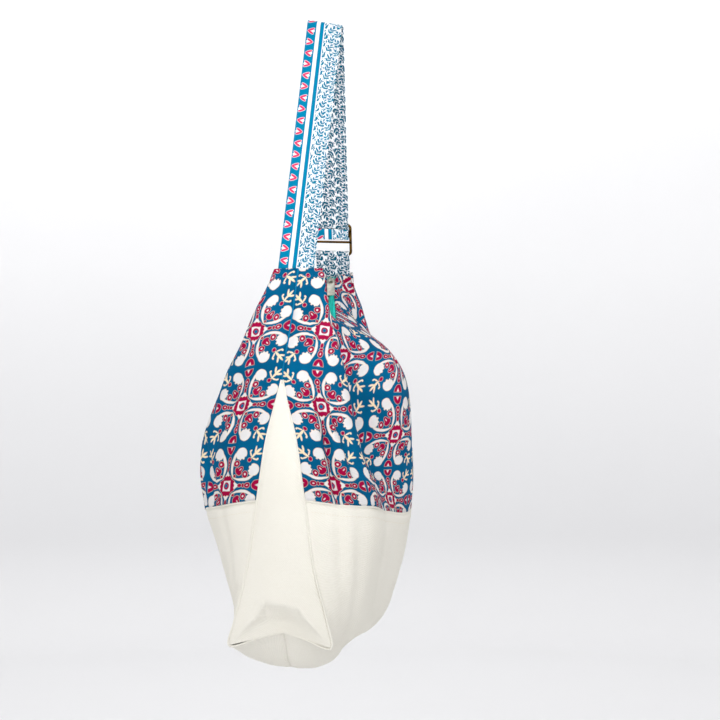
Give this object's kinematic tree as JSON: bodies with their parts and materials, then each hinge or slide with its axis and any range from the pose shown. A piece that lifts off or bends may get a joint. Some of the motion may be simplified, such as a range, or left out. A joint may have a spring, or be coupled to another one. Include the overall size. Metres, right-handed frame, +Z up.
{
  "type": "cotton shoulder bag",
  "caption": "Soft slouchy cotton shoulder bag with printed upper, cream canvas base and end gussets, a zipped dipping mouth and a wide printed strap with a slider, hanging by its strap.",
  "frame": {"origin": "under the bend of the strap, where a hook or a shoulder carries the bag", "axes": "+Z up; +X along the bag towards the end with the strap slider; -Y is the front"},
  "size_m": [0.3816, 0.2195, 0.7177],
  "materials": {
    "print": "printed cotton, blue, crimson and white tile pattern",
    "canvas": "undyed cream canvas",
    "strap_cloth": "printed cotton, leaf sprigs and a striped border",
    "zip_cloth": "teal woven tape and teeth",
    "zip_metal": "satin silver",
    "slider_brass": "antique brass, dark with bright edges"
  },
  "bodies": {
    "bag": {"front_panel": "print", "back_panel": "print", "front_base": "canvas", "back_base": "canvas", "gusset_near": "canvas", "gusset_far": "canvas", "strap_long": "strap_cloth", "strap_short": "strap_cloth", "strap_slider": "slider_brass", "zip_tape_front": "zip_cloth", "zip_tape_back": "zip_cloth", "zip_teeth": "zip_cloth", "zip_slider": "zip_metal"},
    "pull": {"zip_pull": "zip_metal"}
  },
  "joints": [
    {"name": "zip_pull_swing", "type": "hinge", "parent": "bag", "child": "pull", "pos_m": [0.07074, 0.00776, -0.28983], "axis": [-0.1148, 0.9884, -0.0996], "range_deg": [0, 138]}
  ]
}
